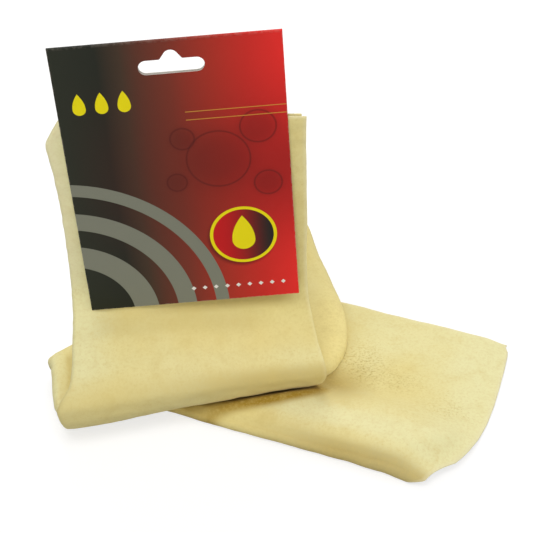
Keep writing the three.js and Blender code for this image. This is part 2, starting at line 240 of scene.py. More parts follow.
# The folded edge keeps in down the apron and stands out where the roll turns, the raw edge is tucked in
# round the roll, and the tail's two edges bow a little
edge_flare = [(2.3, 0), (3, 2), (3.5, 3.8), (3.8, 3.6), (4.03, -0.8), (4.14, -2.4), (4.25, -1.8),
              (4.41, -0.6), (4.62, 0.4), (4.9, -1), (5.1, -2.2), (5.3, -1.6), (5.7, 0)]
roll_tuck = [(2.7, 0), (3.2, -1.5), (3.7, -1.9), (4.1, -2.8), (4.45, -5.4), (4.8, -6.2), (5.4, -1),
             (5.7, 0)]
tail_front_bow = [(7.1, 0), (7.33, 0.3), (7.45, 0.7), (7.55, 0.1), (7.69, -0.55), (7.84, -1.3),
                  (7.93, -0.8), (8, 1.4)]
tail_back_bow = [(7.2, 0), (7.38, -1.5), (7.5, -1.2), (7.7, -0.7), (8, 0)]
left_route[:, 0] += fitted(edge_flare)
right_route[:, 0] += fitted(roll_tuck)
left_route -= tail_backward * fitted(tail_front_bow)[:, None]
right_route += tail_backward * fitted(tail_back_bow)[:, None]
row_width = np.linalg.norm(right_route - left_route, axis=1)
row_across = (right_route - left_route) / row_width[:, None]
row_run = np.concatenate([[0], np.cumsum(np.linalg.norm(np.diff(left_route, axis=0), axis=1))])[:, None]
to_tail_end = row_run[-1] - row_run
to_end = np.minimum(row_run, to_tail_end)


def unit(vectors):
    return vectors / np.linalg.norm(vectors, axis=-1)[..., None]


def waves(points, length, seed, count=14):
    """Smooth seeded unevenness of about unit size, with bumps about as long as the length given."""
    draw = np.random.default_rng(seed)
    headings = unit(draw.normal(size=(count, 3)))
    rates = 2 * math.pi / (length * draw.uniform(1.0, 2.0, count))
    starts = draw.uniform(0, 2 * math.pi, count)
    return np.sin(points @ (headings * rates[:, None]).T + starts).sum(axis=-1) / math.sqrt(count)


def crown(across, peak, spread, at_edge):
    """Lift across the strip: part of it at the folded edge, all of it at the peak, none past the spread."""
    rise = at_edge + (1 - at_edge) * np.sqrt(1 - (1 - np.clip(across / peak, 0, 1)) ** 2)
    fall = np.cos(np.clip((across - peak) / (spread - peak), 0, 1) * math.pi / 2) ** 2
    return np.where(across < peak, rise, fall)


def spot(points, middle, size):
    """Soft round or oval spot, 1 in its middle."""
    return np.exp(-(((points - middle) / size) ** 2).sum(axis=-1))


# How far the tail's cut end reaches, at distances across it, and how much the whole strip sways
tail_end_cut = [(0, 3.4), (4, 4.6), (7, 5.8), (11, 8), (14.6, 10.2), (17.4, 12.2), (24, 13.8), (30, 14.8),
                (41, 15.5), (55, 14.8), (72, 12.6), (87, 9.8), (102, 6.7), (109, 5.1), (115, 3.7),
                (119, 2.2), (tail_width, 0.0)]
sway = along((0, 0.08), (2, 0.12), (2.7, 0.5), (3.6, 0.6), (4.2, 0.3), (5, 0.2), (7, 0), (8, 0))


def strip_surface(across):
    """Middle surface of the strip and its normals, at distances across it from the folded edge."""
    surface = left_route[:, None] + row_across[:, None] * across[..., None]
    surface += tail_line * (fitted(tail_end_cut, across) * tail_share[:, None] ** 2)[..., None]
    normal = unit(np.cross(np.gradient(surface, axis=0), row_across[:, None]))
    return surface + normal * (sway * waves(surface, length=46, seed=5))[..., None], normal


# How far the inner ply reaches past the raw edge of the outer one, row by row: the flank flap beside the
# roll grows along the flat stretch and runs out on the tail
flap_outline = [(0, 0), (0.03, 8.4), (0.06, 13.4), (0.12, 20.4), (0.2, 27.8), (0.3, 34.4), (0.45, 41.8),
                (0.6, 47.6), (0.8, 55), (1, flap_reach)]
flap_rise = fitted(flap_outline, flat_share)
flap_fall = (flap_reach + inner_ply_step) * np.clip(1 - tail_share / flap_tail_share, 0, 1) ** 1.3
before_flat = -inner_ply_step * np.clip(FLAT - row_place, 0, 1)
inner_reach = np.where(on_tail, flap_fall - inner_ply_step, flap_rise)
inner_reach = np.where(row_place < FLAT, before_flat, inner_reach)

outer_waver = 0.3
inner_waver = 0.7
outer_width = row_width + outer_waver * waves(left_route, length=30, seed=3)
inner_width = row_width + inner_reach + inner_waver * waves(left_route, length=24, seed=4)
outer_across = np.linspace(0, 1, outer_columns + 1) * outer_width[:, None]
inner_across = (1 - np.linspace(1, 0, inner_columns + 1) ** 1.25) * inner_width[:, None]

# Outer ply: held up along the folded edge below the card and along the tail's front edge, with the tail's
# end sagging, a shallow valley below the card's corner and a dimple at each staple
valley_middle = np.array([-47.0, 52.5])
valley_axes = np.array([[0.9, 0.43], [-0.43, 0.9]])
valley_size = (11.0, 4.5)
valley_depth = 1.8
dimple_size = (9.0, 5.0)
dimple_depth = 0.5
surface, normal = strip_surface(outer_across)
upright_place = surface[..., [0, 2]]
edge_plump = along((1, 0.15), (2, 0.6), (3, 2.2), (4, 2.4), (4.8, 1), (5, 0), (8, 0))
tail_plump = along((7.12, 0), (7.35, 6), (7.6, 10), (8, 11))
tail_rumple = along((7.2, 0), (7.5, 0.7), (8, 0.7))
end_sag = 0.85 * ease(to_tail_end, 40, 4) * ease(outer_across, 16, 48)
end_pinch = 0.8 * ease(to_tail_end, 20, 0)
end_droop = 1.9 * ease(to_tail_end, 16, 2) * ease(outer_across, 4, 26)
rumpled = (0.5 + 0.5 * waves(surface, length=46, seed=6)) * ease(row_width[:, None] - outer_across, 0, 20)
outer_lift = edge_plump * crown(outer_across, peak=12, spread=58, at_edge=0.6)
tail_ridge = tail_plump * crown(outer_across, peak=25, spread=62, at_edge=0.3)
outer_lift += tail_ridge * (1 - np.maximum(end_sag, end_pinch))
outer_lift += tail_rumple * rumpled - end_droop
valley = spot((upright_place - valley_middle) @ valley_axes, 0.0, valley_size)
outer_lift -= valley_depth * valley * rows(3.2, 2.6)
card_turn = Matrix.Rotation(-card_tilt, 3, "Y")
for side in (-1, 1):
    staple = crease + card_turn @ Vector((side * staple_spacing / 2, 0, -staple_drop))
    dimple = spot(upright_place, (staple.x, staple.z), dimple_size)
    outer_lift -= dimple_depth * dimple * (row_place < BEND)[:, None]
outer_ply = surface + normal * (ply_offset + outer_lift)[..., None]
edge_place = surface[:, 0]
edge_normal = normal[:, 0]

# The roll presses the tail down where it lies on it
roll_sink = 0.7
pressed_height = 2.9
press_softness = 0.8
from_roll = outer_ply - np.array([-roll_left, panel_y - roll_reach["left"], 0.0])
roll_share = np.clip(from_roll @ roll_along / roll_length, 0, 1)
roll_size = roll_radius["left"] + (roll_radius["right"] - roll_radius["left"]) * roll_share + stack_half
roll_low = roll_lift["left"] + (roll_lift["right"] - roll_lift["left"]) * roll_share
ahead = np.clip(-from_roll @ roll_backward, 0, roll_size)
headroom = np.maximum(roll_low - roll_sink, pressed_height) + roll_size - np.sqrt(roll_size ** 2 - ahead ** 2)
pressed = -press_softness * np.logaddexp(-outer_ply[..., 2] / press_softness, -headroom / press_softness)
outer_ply[..., 2] = np.where(on_tail[:, None], pressed, outer_ply[..., 2])

# Inner ply: held up beside the roll but for a gully along it, with the flank flap sinking onto the tail
# and past its back edge, and a puffed rim
rim_width = 8.0
rim_puff = 5.0
flap_clearance = 0.9
flap_floor = 1.0
surface, normal = strip_surface(inner_across)
under_step = inner_end_step * tail_share ** 3
surface -= tail_line * under_step[:, None, None]
inner_plump = along((2.6, 0), (3.4, 1), (4, 1.2), (5, 6), (5.8, 6), (6.1, 5), (6.6, 0), (8, 0))
roll_gully = along((5.1, 0), (5.3, 4.2), (5.8, 4.2), (6, 1), (6.1, 0))
inner_lift = inner_plump * crown(inner_across, peak=24, spread=95, at_edge=0.85)
inner_lift -= roll_gully * band(inner_across, 1.5, 11, 24, 60)
inner_ply = surface - normal * (ply_offset + inner_lift)[..., None]
past_edge = inner_across - row_width[:, None]
behind_tail = (inner_ply - tail_back) @ tail_backward
from_fold = -(inner_ply - fold_corner) @ fold_outward
tail_top = 2 * stack_half
to_rim = inner_width[:, None] - inner_across
rim_round = np.sqrt(1 - (1 - np.clip(to_rim / rim_width, 0, 1)) ** 2)
step_down = (tail_top - flap_floor) * ease(behind_tail, -6, 10)
rest_height = tail_top + flap_clearance - step_down + rim_puff * rim_round
on_flap = (row_place > ROLL + 0.5) & (row_place < FOLD)
sink_reach = np.clip(inner_reach, 4, 24)[:, None]
sink = ease(past_edge / sink_reach) * ease(from_fold, 0, 26) * on_flap[:, None]
inner_ply[..., 2] += (rest_height - inner_ply[..., 2]) * sink

# Folded edge between the plies, a half round from one to the other
outer_off = ply_offset + outer_lift[:, :1]
inner_off = ply_offset + inner_lift[:, :1]
edge_middle = edge_place + edge_normal * (outer_off - inner_off) / 2
edge_radius = (outer_off + inner_off)[..., None] / 2
edge_share = np.arange(1, edge_columns) / edge_columns
edge_angle = (math.pi / 2 - math.pi * edge_share)[None, :, None]
spoke = np.sin(edge_angle) * edge_normal[:, None] - np.cos(edge_angle) * row_across[:, None]
folded_edge = edge_middle[:, None] + edge_radius * spoke
folded_edge -= tail_line * (under_step[:, None] * ease(edge_share))[..., None]

# The skin has a thickness on both sides of its middle surface, less at its raw edges
thin_edge = 0.28
uneven_share = 0.1
dapple_size = 0.1
floor_gap = 0.02
skin = smoothed(np.concatenate([outer_ply[:, ::-1], folded_edge, inner_ply], axis=1), 2)
facing = unit(np.cross(np.gradient(skin, axis=1), np.gradient(skin, axis=0)))
no_edge = np.full((len(skin), edge_columns - 1), np.inf)
to_side = np.concatenate([(outer_width[:, None] - outer_across)[:, ::-1], no_edge, to_rim], axis=1)
to_cut = np.minimum(to_side, to_end)
thickness = half_thickness * (1 - thin_edge + thin_edge * ease(to_cut, 0, 7))
thickness *= 1 + uneven_share * waves(skin, length=9, seed=8)
dapple = dapple_size * (waves(skin, length=6, seed=9) + waves(skin, length=3.4, seed=10) / 2)
front = skin + facing * (thickness + dapple)[..., None]
back = skin - facing * (thickness - dapple)[..., None]


def rim(near, far, outward):
    """Half-round raw edge between the two faces of the skin."""
    middle, half = (near + far) / 2, (near - far) / 2
    reach = np.linalg.norm(half, axis=-1)[..., None]
    turns = np.array([0.25, 0.5, 0.75]) * math.pi
    return [middle + half * math.cos(turn) + outward * reach * math.sin(turn) for turn in turns]


last_rim = rim(front[:, -1], back[:, -1], unit(skin[:, -1] - skin[:, -2]))
first_rim = rim(back[:, 0], front[:, 0], unit(skin[:, 0] - skin[:, 1]))
rim_steps = len(last_rim)
loops = [front, np.stack(last_rim, axis=1), back[:, ::-1], np.stack(first_rim, axis=1)]
loops = np.concatenate(loops, axis=1)
row_count, loop_length = loops.shape[:2]
path_length = skin.shape[1]
top_rim = rim(front[0], back[0], unit(skin[0] - skin[1]))[rim_steps // 2]
tail_rim = rim(front[-1], back[-1], unit(skin[-1] - skin[-2]))[rim_steps // 2]
points = np.concatenate([loops.reshape(-1, 3), top_rim, tail_rim])
points[:, 2] = np.maximum(points[:, 2], floor_gap)


def tube_faces(count, length):
    """Quads between closed loops of points that follow one another, all of one length."""
    faces = []
    for start in range(0, (count - 1) * length, length):
        for step in range(length):
            near, beside = start + step, start + (step + 1) % length
            faces.append((near, beside, beside + length, near + length))
    return faces


faces = tube_faces(row_count, loop_length)
for end, row in enumerate((0, row_count - 1)):
    start = row * loop_length
    seam = row_count * loop_length + end * path_length
    last = start + path_length - 1
    mirrored = last + rim_steps + path_length
    finish = start + loop_length - 1
    caps = []
    for column in range(path_length - 1):
        caps.append((start + column, seam + column, seam + column + 1, start + column + 1))
        caps.append((seam + column, mirrored - column, mirrored - column - 1, seam + column + 1))
    caps.append((last, seam + path_length - 1, *range(last + rim_steps + 1, last, -1)))
    caps.append((start, *range(finish, finish - rim_steps - 1, -1), seam))
    faces += caps if end == 0 else [cap[::-1] for cap in caps]


def placed(name, data):
    obj = bpy.data.objects.new(name, data)
    bpy.context.scene.collection.objects.link(obj)
    return obj


def mesh_object(name, verts, faces):
    mesh = bpy.data.meshes.new(name)
    mesh.from_pydata(verts, [], faces)
    mesh.update()
    return placed(name, mesh)


hide = mesh_object("chamois_hide", (points * MM + np.array(foot_place)).tolist(), faces)
hide.data.shade_smooth()
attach(hide, "leather")
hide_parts("chamois_leather")


def skin_mask(name, outer, edge, inner, ends=0.0):
    """Value for each point of the skin, the same on both faces, kept as an attribute for the finish."""
    edge = np.broadcast_to(edge, (row_count, edge_columns - 1))
    path = np.concatenate([outer[:, ::-1], edge, inner], axis=1)
    near, far = (np.repeat(path[:, [column]], rim_steps, axis=1) for column in (-1, 0))
    loop = np.concatenate([path, near, path[:, ::-1], far], axis=1)
    values = np.concatenate([loop.ravel(), path[0] + ends, path[-1] + ends])
    attribute = hide.data.attributes.new(name, "FLOAT", "POINT")
    attribute.data.foreach_set("value", values.astype(np.float32))


# Raw edges are pale with loose fibre, and so is the folded edge beside the card
fibre_length = 0.8
outer_cut = to_cut[:, :outer_columns + 1][:, ::-1]
inner_cut = to_cut[:, -inner_columns - 1:]
bare_fold = rows(2.3, 1.8)
below_card = 1 - 0.65 * rows(2.2, 2.8, 4.5, 5.0)
flap_rim = 1 - 0.8 * rows(4.6, 5.0, 7.2, 7.5)
outer_raw = np.exp(-outer_cut / fibre_length) * below_card + bare_fold * ease(outer_across, 9, 0)
inner_raw = np.exp(-inner_cut / fibre_length) * flap_rim
skin_mask("raw_edge", outer_raw, np.exp(-to_end / fibre_length) + bare_fold, inner_raw, 1.0)

# A patch of grain wrinkles on the tail beside the flap: the middle, size and depth of its spots
wrinkle_spots = (((93, 3), (13, 17), 1.0), ((115, -10), (9, 9), 0.5), ((138, -34), (12, 10), 0.35))
outer_plan = outer_ply[..., :2]
wrinkled = sum(depth * spot(outer_plan, middle, size) for middle, size, depth in wrinkle_spots)
skin_mask("wrinkled", wrinkled * rows(7.0, 7.2), 0.0, np.zeros_like(inner_across))

# The skin is bleached paler on the tail and tanner beside the flap. It is painted paler as highlight where
# the apron turns over the roll and on the tail's ridge, paler along the folded edge down the panel and by the
# roll, partly bleaching and partly painted highlight, and darker along the tail's folded front edge as
# painted shade
upper_band, tail_band = ease(outer_across, 26, 2), ease(outer_across, 24, 6)
edge_band = np.where(row_place[:, None] < FLAT, upper_band, tail_band)
# the rise about 3.55, where the apron turns over the roll, is painted highlight; the tail's rise is bleaching
bleach_and_highlight = along((0, 0.3), (2, 0.25), (3.25, 0.25), (3.55, 0.45), (3.85, 0.3), (5, 0.4), (7.2, 0.3),
                 (7.5, 0.5), (7.75, 0.75), (8, 1))
# painted highlight, with some bleaching, down the folded edge and by the roll; the values below 0 on the tail
# are painted shade
edge_light_and_shade = along((0, 1), (1.5, 1), (2, 0.7), (3.3, 0.6), (4, 0.2), (4.9, 0.15), (5.3, 0.5),
                      (5.9, 0.5), (6.4, 0), (7.2, -0.3), (8, -0.4))
# painted highlight on the crest of the tail's ridge
ridge_highlight = 0.5 * spot(outer_across[..., None], 17, 8) * rows(7.3, 7.5)
tanned = 0.55 * spot(outer_plan, (108.0, -18.0), (36.0, 34.0)) * rows(7.0, 7.2)
outer_pale = bleach_and_highlight + edge_light_and_shade * edge_band + ridge_highlight - tanned
# painted highlight near the inner ply's folded edge by the roll's left end
inner_pale = 0.3 + 0.4 * ease(inner_across, 8, 1) * along((4.6, 0), (5, 1), (6, 1), (6.4, 0))
skin_mask("bleach_and_highlight", outer_pale, outer_pale[:, :1], inner_pale)


def ply_points(ply, start, end, columns=slice(None)):
    return ply[(row_place > start) & (row_place < end)][:, columns].reshape(-1, 3)


def distances(points, others):
    """Distance of every point from the nearest of the others."""
    nearest = KDTree(len(others))
    for number, other in enumerate(others):
        nearest.insert(other, number)
    nearest.balance()
    found = [nearest.find(point)[2] for point in points.reshape(-1, 3)]
    return np.array(found).reshape(points.shape[:-1])


# Painted shade: a deeper tone painted where shade falls. On the outer ply that is at the card's foot, on the
# tail under the roll and the flap, on the tail's front slope and round the front of the roll
foot_shade = 0.18
foot_shade_right = 0.25
below_foot_shade = 0.23
corner_shade = 0.5
corner_shift = np.array([6.0, 4.0])
slope_shade = 0.41
roll_shade = 0.4
outer_x = outer_ply[..., 0]
foot_run = outer_ply[..., 2] - card_foot - outer_x * math.tan(card_tilt)
from_card_middle = np.abs(outer_x + foot_run * math.tan(card_tilt))
at_foot = ease(foot_run, -14, -4) * (0.1 + 0.9 * ease(foot_run, 8, -3)) * ease(from_card_middle, 60, 44)
painted_shade = at_foot * rows(3.2, 2.8) * (foot_shade + foot_shade_right * ease(outer_x, -55, 20))
shadow_reach = np.interp(outer_x, (-47.0, 28.0), (13.0, 24.0))
below_foot = ease(-foot_run / shadow_reach, 1.0, 0.62) * ease(foot_run, 8, 2) * rows(3.9, 3.5)
below_foot *= ease(outer_x, 50, 26) * (0.5 + 0.5 * ease(outer_x, -64, -48))
painted_shade = np.maximum(painted_shade, below_foot_shade * below_foot)
in_plan = np.array([1.0, 1.0, 0.0])
tail_x = outer_x[on_tail]
contact_depth = 0.38 + 0.62 * ease(tail_x, -8, 40) - 0.45 * ease(tail_x, 50, 74)
contact_reach = 0.5 + 0.5 * ease(tail_x, 5, 45)
lying_on_tail = ((ply_points(outer_ply, 4.2, 5.2), 1.0, 11.5), (ply_points(inner_ply, 5, 6), 0.33, 9.0))
for above, depth, reach in lying_on_tail:
    away = distances(outer_ply[on_tail] * in_plan, above * in_plan)
    contact = depth * contact_depth * ease(away / (reach * contact_reach), 1, 0)
    painted_shade[on_tail] = np.maximum(painted_shade[on_tail], contact)
roll_corner = outer_plan[np.searchsorted(row_place, 4.6), -1]
by_corner = np.linalg.norm(outer_plan - (roll_corner + corner_shift), axis=2)
painted_shade = np.maximum(painted_shade, corner_shade * ease(by_corner, 36, 0) * on_tail[:, None])
painted_shade = np.maximum(painted_shade, slope_shade * rows(7.45, 7.8) * ease(outer_across, 9, -2))
roll_front = rows(3.5, 4.0) * (1 - 0.8 * rows(4.05, 4.4))
painted_shade += roll_shade * roll_front * (0.5 + 0.5 * ease(outer_x, -50, 45))

# On the inner ply the painted shade is inside the roll, beside the roll's two ends and by the panel's raw
# edge, and a painted highlight makes the open flap lighter
inside_shade = 0.24
roll_end_shade = 0.34
lobe_shade = 0.3
panel_edge_shade = 0.21
inner_x = inner_ply[..., 0]
inner_painted_shade = inside_shade * rows(4.2, 4.8, 5.1, 5.7) * ease(inner_across, 70, 30)
roll_end = np.concatenate([ply_points(ply, 2.6, 5, slice(-4, None)) for ply in (outer_ply, inner_ply)])
by_end = (row_place > 5) & (row_place < 6.5)
end_near = ease(distances(inner_ply[by_end], roll_end), 13, 1) * ease(past_edge[by_end], -30, -10)
inner_painted_shade[by_end] = np.maximum(inner_painted_shade[by_end], roll_end_shade * end_near)
lobe = band(inner_across, 2, 8, 10, 24) * rows(5.0, 5.2, 5.85, 6.05)
by_panel_edge = band(inner_x, 0, 56, 62, 88) * rows(5.0, 5.1, 6.0, 6.2)
inner_painted_shade = np.maximum(inner_painted_shade, np.maximum(lobe_shade * lobe, panel_edge_shade * by_panel_edge))
skin_mask("painted_shade", painted_shade, painted_shade[:, :1], inner_painted_shade)
# painted highlight: the open flap is painted lighter
flap_highlight = ease(past_edge, -6, 12) * rows(5.0, 5.1, 5.35, 5.75)
skin_mask("painted_flap_light", np.zeros_like(outer_across), 0.0, flap_highlight)


def add_node(kind, inputs, tree=None, **settings):
    """New node in the tree that its inputs are linked from, or in the one given; other inputs are values."""
    linked = {key: value for key, value in inputs.items() if isinstance(value, bpy.types.NodeSocket)}
    tree = tree or next(iter(linked.values())).id_data
    node = tree.nodes.new(kind)
    for key, value in settings.items():
        setattr(node, key, value)
    for key, value in inputs.items():
        if key in linked:
            tree.links.new(value, node.inputs[key])
        else:
            node.inputs[key].default_value = value
    return node


def calc(operation, first, second=0.0, third=0.0):
    return add_node("ShaderNodeMath", {0: first, 1: second, 2: third}, operation=operation).outputs[0]


plus, minus, times, most = (partial(calc, name) for name in ("ADD", "SUBTRACT", "MULTIPLY", "MAXIMUM"))


def clamped(value, low, high):
    """Value moved from the range low to high onto 0 to 1, with soft ends."""
    ends = {"Value": value, "From Min": low, "From Max": high}
    return add_node("ShaderNodeMapRange", ends, interpolation_type="SMOOTHSTEP").outputs["Result"]


def painted(under, over, mask):
    """Colour over another one, where the mask says."""
    return add_node("ShaderNodeMix", {0: mask, 6: under, 7: over}, data_type="RGBA").outputs[2]


def speckled(under, over, value, low, high, share):
    """Colour over another one at part strength, where a pattern's value goes from low to high."""
    return painted(under, over, times(clamped(value, low, high), share))


def colour(red, green, blue):
    """Linear colour for a shader from the 0 to 255 values seen on a screen."""
    def linear(value):
        share = value / 255
        return share / 12.92 if share <= 0.04045 else ((share + 0.055) / 1.055) ** 2.4
    return (linear(red), linear(green), linear(blue), 1.0)


def new_finish(name, values):
    """New material with the shader values that are the same all over."""
    material = bpy.data.materials.new(name)
    material.use_nodes = True
    shader = material.node_tree.nodes["Principled BSDF"]
    for socket_name, value in values.items():
        shader.inputs[socket_name].default_value = value
    return material, material.node_tree, shader


def add_relief(shader, height, strength, distance, under=None):
    """Bump from a height, over another bump's normal if one is given."""
    inputs = {"Strength": strength, "Distance": distance, "Height": height}
    if under:
        inputs["Normal"] = under.outputs["Normal"]
    relief = add_node("ShaderNodeBump", inputs).outputs["Normal"]
    shader.id_data.links.new(relief, shader.inputs["Normal"])


def node_group(name, kind, inputs, outputs):
    """Empty node group with named sockets; returned with what goes into it and what comes out of it."""
    group = bpy.data.node_groups.new(name, kind)
    for in_out, sockets in (("INPUT", inputs), ("OUTPUT", outputs)):
        for socket_name, socket_kind in sockets.items():
            group.interface.new_socket(socket_name, in_out=in_out, socket_type="NodeSocket" + socket_kind)
    return group, group.nodes.new("NodeGroupInput").outputs, group.nodes.new("NodeGroupOutput").inputs


# Fibre mottle, shared by all the finishes: soft clouds of tone and a finer grain, of the size given
mottle_sockets = {"Vector": "Vector", "Size": "Float"}
mottle_values = {"Tone": "Float", "Grain": "Float"}
fibre_mottle, mottle_in, mottle_out = node_group("fibre_mottle", "ShaderNodeTree",
                                                 mottle_sockets, mottle_values)
per_size = calc("DIVIDE", 1.0, mottle_in["Size"])
sized = add_node("ShaderNodeVectorMath", {0: mottle_in["Vector"], "Scale": per_size},
                 operation="SCALE")
for socket_name, scale in (("Tone", 1.0), ("Grain", 7.0)):
    noise = add_node("ShaderNodeTexNoise",
                     {"Vector": sized.outputs[0], "Scale": scale, "Detail": 3.0, "Roughness": 0.55})
    fibre_mottle.links.new(noise.outputs["Fac"], mottle_out[socket_name])


def mottle(vector, size):
    return add_node("ShaderNodeGroup", {"Vector": vector, "Size": size}, node_tree=fibre_mottle).outputs


def skin_value(name):
    return add_node("ShaderNodeAttribute", {}, skin_finish.node_tree, attribute_name=name).outputs["Fac"]


# Napped finish: deep to pale skin by how far it is bleached or painted lighter as highlight, then the
# painted highlight on the flap, the painted shade, and the worn and stained tones
pale_skin = colour(240, 235, 181)
deep_skin = colour(235, 219, 147)
flap_highlight_skin = colour(249, 233, 160)
shade_skin = colour(162, 130, 40)
worn_skin = colour(217, 196, 122)
tan_stain = colour(196, 172, 96)
fibre_skin = colour(247, 240, 202)
full_shade = 0.84
wrinkle_turn = (0, 0, math.radians(38))
wrinkle_scale = (260.0, 620.0, 400.0)
skin_finish, tree, shader = new_finish("napped_chamois", {
    "Roughness": 0.94, "Specular IOR Level": 0.15, "Sheen Weight": 0.08, "Sheen Roughness": 0.5})
place = add_node("ShaderNodeTexCoord", {}, tree).outputs["Object"]
cloud = mottle(place, size=0.040)
patch = mottle(place, size=0.008)
nap = mottle(place, size=0.0019)
wrinkle_mask = skin_value("wrinkled")
clouded = minus(cloud["Tone"], 0.5)
paleness = calc("MULTIPLY_ADD", clouded, 0.8, skin_value("bleach_and_highlight"))
tone = painted(deep_skin, pale_skin, clamped(paleness, 0.0, 1.0))
# painted highlight on the open flap
tone = painted(tone, flap_highlight_skin, skin_value("painted_flap_light"))
# painted shade: a deeper, warmer tone where shade falls
tone = painted(tone, shade_skin, clamped(skin_value("painted_shade"), 0.0, full_shade))
tone = speckled(tone, worn_skin, patch["Tone"], 0.45, 0.8, 0.3)
tone = speckled(tone, worn_skin, nap["Tone"], 0.4, 0.75, 0.22)
tone = speckled(tone, worn_skin, patch["Grain"], 0.5, 0.72, 0.24)
stain = times(clamped(patch["Grain"], 0.58, 0.76), wrinkle_mask)
tone = painted(tone, tan_stain, times(stain, 0.8))
tone = painted(tone, fibre_skin, times(skin_value("raw_edge"), 0.4))
turned = add_node("ShaderNodeMapping",
                  {"Vector": place, "Rotation": wrinkle_turn, "Scale": wrinkle_scale}).outputs["Vector"]
wrinkle = add_node("ShaderNodeTexVoronoi", {"Vector": turned, "Scale": 1.0, "Randomness": 1.0},
                   feature="DISTANCE_TO_EDGE")
crease_line = clamped(wrinkle.outputs["Distance"], 0.22, 0.02)
crease_line = times(crease_line, clamped(patch["Grain"], 0.42, 0.62))
crease_line = times(crease_line, wrinkle_mask)
tone = painted(tone, tan_stain, times(crease_line, 0.75))
tree.links.new(tone, shader.inputs["Base Color"])
creases = add_node("ShaderNodeBump", {"Strength": 0.6, "Distance": 0.0005, "Height": crease_line},
                   invert=True)
height = calc("MULTIPLY_ADD", nap["Tone"], 0.5, times(nap["Grain"], 0.25))
height = plus(height, times(patch["Tone"], 0.9))
add_relief(shader, height, strength=0.35, distance=0.0006, under=creases)
hide.data.materials.append(skin_finish)


# Back leaf of the header card: the card is one strip of 0.5 mm board creased over at the top, with a peg
# slot punched through both leaves. This leaf is plain; it steps back over the leather's top edge and is
# stapled to it.
card_width = 112.0
board_thickness = 0.5
board_columns = 16
edge_round = 0.1
crease_radius = 0.5
crease_gap = 0.45
leaves_together = 22.0
step_end = -36.18
back_leaf_front = 2.787
slot_length = 32.0
slot_height = 7.5
slot_drop = 13.5
slot_offset = 2.0
slot_rise = 4.8
slot_bump = 3.8
slot_slope = 54.0
slot_fillet = 1.0
punch_reach = 2.0
card_matrix = Matrix.Translation(hinge) @ Matrix.Rotation(-card_tilt, 4, "Y") @ Matrix.Scale(MM, 4)


def arc_points(x, z, radius, start, end, steps=10):
    turns = np.radians(np.linspace(start, end, steps + 1))
    return [(x + radius * math.cos(turn), z + radius * math.sin(turn)) for turn in turns]


def slot_outline():
    """Euro slot seen from the front: an oblong with a sloping bump in the middle of its upper side."""
    half = slot_height / 2
    reach = slot_length / 2 - half
    slope = math.radians(slot_slope)
    lean = 90 - slot_slope
    shoulder = half + slot_fillet
    bump_middle = half + slot_rise - slot_bump
    neck = (slot_bump + slot_fillet + (bump_middle - shoulder) * math.cos(slope)) / math.sin(slope)
    outline = arc_points(-reach, 0, half, 90, 270) + arc_points(reach, 0, half, -90, 90)
    outline += arc_points(neck, shoulder, slot_fillet, -90, lean - 180, 6)
    outline += arc_points(0, bump_middle, slot_bump, lean, 180 - lean, 16)
    outline += arc_points(-neck, shoulder, slot_fillet, -lean, -90, 6)
    return [(x + slot_offset, z - slot_drop) for x, z in outline]


def slot_punch(name, depth):
    """Prism of the slot's outline, across the board at the depth given."""
    outline = slot_outline()
    size = len(outline)
    verts = [(x, depth + reach, z) for reach in (-punch_reach, punch_reach) for x, z in outline]
    walls = [(i, i + size, (i + 1) % size + size, (i + 1) % size) for i in range(size)]
    walls += [tuple(range(size)), tuple(reversed(range(size, 2 * size)))]
    return mesh_object(name, verts, walls)


def board_strip(name, profile, matrix, finishes, slot_depth=None):
    """Board that follows a profile of depths and heights, as wide as the card, with the peg slot cut out
    where a depth for it is given.
    """
    profile = np.array(profile)
    run = unit(np.gradient(profile, axis=0))
    side = np.stack([run[:, 1], -run[:, 0]], axis=1) * board_thickness / 2
    loop = np.concatenate([profile + side, (profile - side)[::-1]])
    count = len(loop)
    stations = np.linspace(-card_width / 2, card_width / 2, board_columns + 1)
    verts = [(x, y, z) for x in stations for y, z in loop]
    faces = tube_faces(board_columns + 1, count)
    for step in range(count // 2 - 1):
        cap = (step, count - 1 - step, count - 2 - step, step + 1)
        faces.append(cap)
        faces.append(tuple(board_columns * count + corner for corner in cap[::-1]))
    board = mesh_object(name, verts, faces)
    punch = None
    if slot_depth is not None:
        punch = slot_punch(name + "_punch", slot_depth)
        cutting = board.modifiers.new("slot", "BOOLEAN")
        cutting.object = punch
        cutting.solver = "EXACT"
    softening = board.modifiers.new("edges", "BEVEL")
    softening.width = edge_round
    softening.segments = 2
    softening.limit_method = "ANGLE"
    softening.angle_limit = math.radians(50)
    made = bpy.data.meshes.new_from_object(board.evaluated_get(bpy.context.evaluated_depsgraph_get()))
    board.modifiers.clear()
    board.data = made
    made.name = name
    if punch:
        bpy.data.objects.remove(punch)
    unwrapped = made.uv_layers.new(name="card")
    for corner in made.loops:
        x, _, z = made.vertices[corner.vertex_index].co
        unwrapped.data[corner.index].uv = (x / card_width + 0.5, 1 + z / card_height)
    made.transform(matrix)
    made.update()
    made.materials.clear()
    for finish in finishes:
        made.materials.append(finish)
    return board


# Plain board, for the back leaf, the inside of the card and its cut edges
board_grey = colour(207, 203, 194)
board_light = colour(214, 210, 201)
board_fleck = colour(168, 160, 146)
board_finish, tree, shader = new_finish("plain_board", {"Roughness": 0.8})
place = add_node("ShaderNodeTexCoord", {}, tree).outputs["Object"]
fibre = mottle(place, size=0.0016)
cloud = mottle(place, size=0.03)
tone = painted(board_grey, board_light, clamped(cloud["Tone"], 0.3, 0.7))
tone = speckled(tone, board_fleck, fibre["Tone"], 0.55, 0.8, 0.5)
tree.links.new(tone, shader.inputs["Base Color"])
add_relief(shader, fibre["Tone"], strength=0.2, distance=0.0002)

